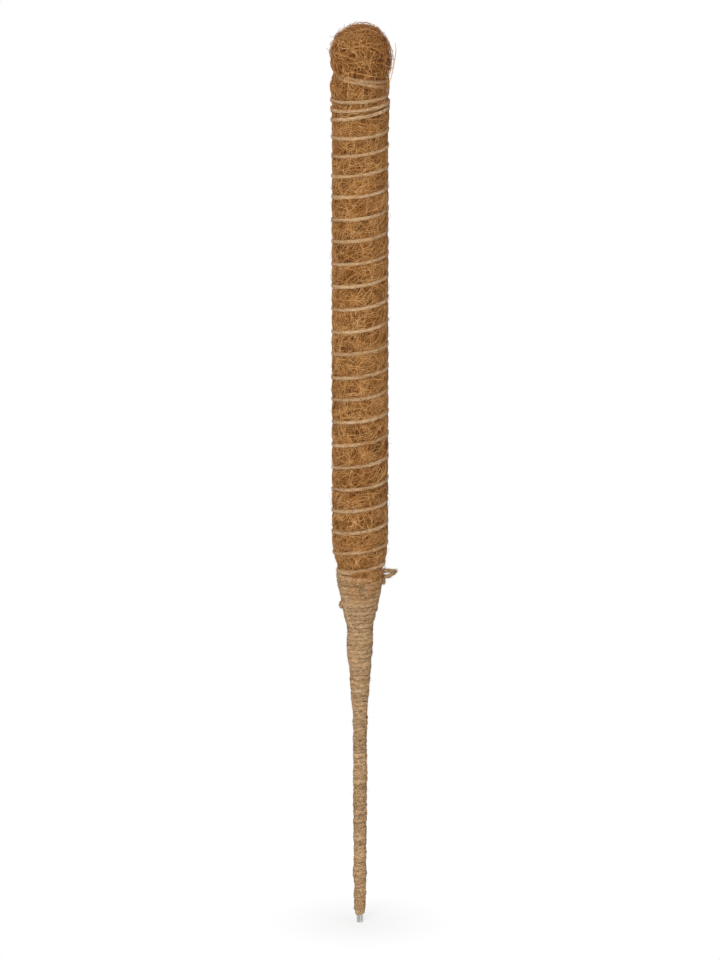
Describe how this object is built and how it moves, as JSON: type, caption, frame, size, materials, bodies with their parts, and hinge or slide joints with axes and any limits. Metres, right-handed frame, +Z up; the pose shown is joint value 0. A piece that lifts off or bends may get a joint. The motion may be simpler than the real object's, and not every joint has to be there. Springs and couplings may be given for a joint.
{
  "type": "moss pole",
  "caption": "Bendable coir moss pole for climbing houseplants: coir-wrapped shaft with a domed cap, spiral jute binding and a slim jute-wound stake with a bare metal tip.",
  "frame": {"origin": "centre of the flat cut end of the rod, the tip that goes into the soil", "axes": "+Z up the pole towards the domed cap, +X to the right as pictured, where the tied-off twine end stands out, -Y towards the viewer"},
  "size_m": [0.0364, 0.0328, 0.5],
  "materials": {
    "aluminium_rod": "drawn, slightly dull soft aluminium with a cut end",
    "packed_coir": "tightly packed brown coconut fibre",
    "coir": "tangled coconut fibre, matt, with loose ends",
    "jute_twine": "pale natural jute, plied and hairy"
  },
  "bodies": {
    "root": {"core_rod": "aluminium_rod", "coir_filling": "packed_coir", "coir_fleece": "coir", "coir_cap": "coir", "spiral_binding": "jute_twine", "stake_winding": "jute_twine", "neck_lashing": "jute_twine", "tie_off_knot": "jute_twine", "splice_knot": "jute_twine", "neck_knot": "jute_twine", "tie_off_tail": "jute_twine"}
  },
  "joints": []
}
